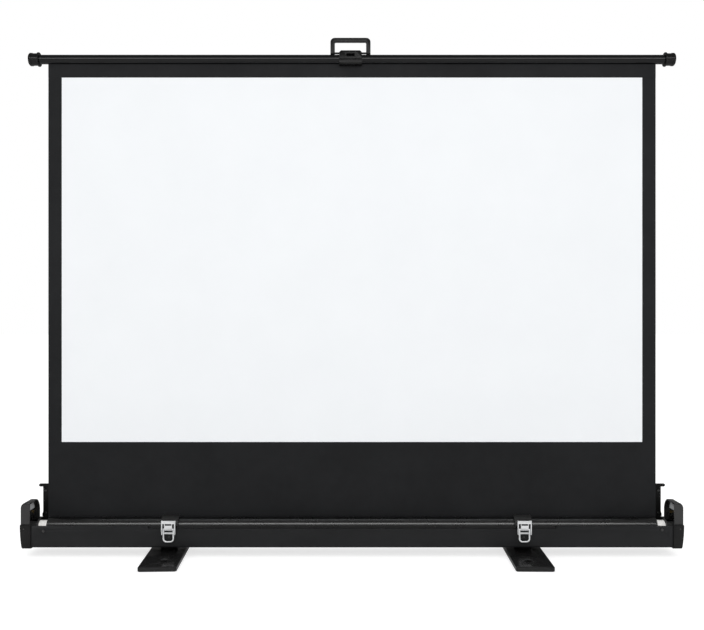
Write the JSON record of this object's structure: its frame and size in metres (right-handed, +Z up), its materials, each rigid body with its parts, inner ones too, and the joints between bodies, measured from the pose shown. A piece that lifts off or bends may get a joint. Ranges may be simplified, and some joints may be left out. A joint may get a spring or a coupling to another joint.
{
  "type": "pull-up projection screen",
  "caption": "Floor-standing pull-up projection screen: a sprung roller in a long low case, a top bar raised on folding gear-linked arms, swivel feet, latches and a folding carry handle.",
  "frame": {"origin": "on the floor, below the middle of the object's box", "axes": "+X to the viewer's right along the case, +Y away from the viewer, +Z up"},
  "size_m": [1.921, 0.4046, 1.5222],
  "materials": {
    "case_black": "satin black powder coat",
    "cap_black": "satin moulded plastic",
    "ear_black": "glossy moulded plastic",
    "grey_felt": "light grey felt",
    "brass": "brass screw",
    "bracket_grey": "dark grey die casting",
    "plain_steel": "zinc plated steel",
    "dark_steel": "blackened steel",
    "pin_steel": "bright steel",
    "nylon": "natural nylon",
    "guide_black": "matt black steel",
    "roller_aluminium": "mill finish",
    "screen_black": "matt black coated screen fabric",
    "screen_white": "matt white viewing surface",
    "plug_white": "white moulded plastic",
    "bar_black": "glossy black lacquer",
    "bar_end_black": "glossy moulded plastic",
    "handle_black": "moulded plastic, semi gloss",
    "arm_black": "black anodised bar",
    "chrome": "bright nickel plate",
    "chrome_wire": "bright plated wire",
    "foot_black": "satin black lacquer",
    "rubber": "black rubber"
  },
  "bodies": {
    "case": {"case_shell": "case_black", "case_screws": "dark_steel", "end_cap_left": "cap_black", "end_cap_right": "cap_black", "cap_screws": "dark_steel", "end_ear_left": "ear_black", "end_ear_right": "ear_black", "ear_pads": "grey_felt", "ear_screws": "brass", "roller_bracket_left": "bracket_grey", "roller_bracket_right": "bracket_grey", "spring_shaft": "plain_steel", "roller_spring": "plain_steel", "idle_pin": "plain_steel", "arm_base_block": "bracket_grey", "base_pins": "plain_steel", "base_washers": "nylon", "bar_guide_left": "guide_black", "bar_guide_right": "guide_black", "guide_rivets": "dark_steel", "latch_base_left": "guide_black", "latch_base_right": "guide_black", "latch_pins": "chrome", "latch_rivets": "dark_steel", "foot_spacers": "guide_black", "foot_bolts": "plain_steel"},
    "roller": {"roller_tube": "roller_aluminium", "fabric_roll": "screen_black", "roller_plug_left": "plug_white", "roller_plug_right": "plug_white", "spring_plug": "nylon"},
    "top_bar": {"screen_fabric": "screen_black", "image_surface": "screen_white", "hem_rod": "plain_steel", "bar_tube": "bar_black", "bar_end_left": "bar_end_black", "bar_end_right": "bar_end_black", "handle_saddle": "handle_black", "arm_head_block": "bracket_grey", "head_pins": "plain_steel", "head_washers": "nylon"},
    "handle": {"handle_bail": "handle_black", "handle_pin": "pin_steel"},
    "lower_arm_left": {"lower_arm_left": "arm_black", "elbow_pin_left": "plain_steel", "elbow_washer_left": "nylon"},
    "lower_arm_right": {"lower_arm_right": "arm_black", "elbow_pin_right": "plain_steel", "elbow_washer_right": "nylon"},
    "upper_arm_left": {"upper_arm_left": "arm_black"},
    "upper_arm_right": {"upper_arm_right": "arm_black"},
    "latch_lever_left": {"latch_lever_left": "chrome"},
    "latch_lever_right": {"latch_lever_right": "chrome"},
    "latch_loop_left": {"latch_loop_left": "chrome_wire"},
    "latch_loop_right": {"latch_loop_right": "chrome_wire"},
    "foot_left": {"foot_left": "foot_black", "foot_rubber_left": "rubber"},
    "foot_right": {"foot_right": "foot_black", "foot_rubber_right": "rubber"}
  },
  "joints": [
    {"name": "lift", "type": "hinge", "parent": "case", "child": "lower_arm_left", "pos_m": [-0.03, 0.033, 0.07], "axis": [0, -1, 0], "range_deg": [0, 64.14], "deforming": ["screen_fabric", "image_surface"]},
    {"name": "elbow_left", "type": "hinge", "parent": "lower_arm_left", "child": "upper_arm_left", "pos_m": [-0.31669, 0.038, 0.752], "axis": [0, 1, 0], "range_deg": [0, 128.3]},
    {"name": "head_left", "type": "hinge", "parent": "upper_arm_left", "child": "top_bar", "pos_m": [-0.03, 0.038, 1.434], "axis": [0, -1, 0], "range_deg": [0, 64.15]},
    {"name": "base_right", "type": "hinge", "parent": "case", "child": "lower_arm_right", "pos_m": [0.03, 0.033, 0.07], "axis": [0, 1, 0], "range_deg": [0, 64.15]},
    {"name": "elbow_right", "type": "hinge", "parent": "lower_arm_right", "child": "upper_arm_right", "pos_m": [0.31669, 0.038, 0.752], "axis": [0, -1, 0], "range_deg": [0, 128.3]},
    {"name": "roller_spin", "type": "hinge", "parent": "case", "child": "roller", "pos_m": [0, -0.017, 0.078], "axis": [-1, 0, 0], "range_deg": [0, 2353.7]},
    {"name": "handle_fold", "type": "hinge", "parent": "top_bar", "child": "handle", "pos_m": [-0.0045, 0.0135, 1.4772], "axis": [1, 0, 0], "range_deg": [-90, 90]},
    {"name": "latch_flip_left", "type": "hinge", "parent": "case", "child": "latch_lever_left", "pos_m": [-0.5295, -0.06, 0.1025], "axis": [-1, 0, 0], "range_deg": [0, 94]},
    {"name": "loop_swing_left", "type": "hinge", "parent": "latch_lever_left", "child": "latch_loop_left", "pos_m": [-0.5295, -0.062, 0.082], "axis": [-1, 0, 0], "range_deg": [0, 120]},
    {"name": "foot_swivel_left", "type": "hinge", "parent": "case", "child": "foot_left", "pos_m": [-0.54, 0, 0.007], "axis": [0, 0, 1], "range_deg": [0, 87.6]},
    {"name": "latch_flip_right", "type": "hinge", "parent": "case", "child": "latch_lever_right", "pos_m": [0.4975, -0.06, 0.1025], "axis": [-1, 0, 0], "range_deg": [0, 94]},
    {"name": "loop_swing_right", "type": "hinge", "parent": "latch_lever_right", "child": "latch_loop_right", "pos_m": [0.4975, -0.062, 0.082], "axis": [-1, 0, 0], "range_deg": [0, 120]},
    {"name": "foot_swivel_right", "type": "hinge", "parent": "case", "child": "foot_right", "pos_m": [0.5045, 0, 0.007], "axis": [0, 0, 1], "range_deg": [-88.8, 0]}
  ],
  "couplings": [
    {"joint": "elbow_left", "follows": "lift", "ratio": 2},
    {"joint": "head_left", "follows": "lift", "ratio": 1},
    {"joint": "base_right", "follows": "lift", "ratio": 1},
    {"joint": "elbow_right", "follows": "lift", "ratio": 2},
    {"joint": "roller_spin", "follows": "lift", "ratio": 36.68}
  ]
}
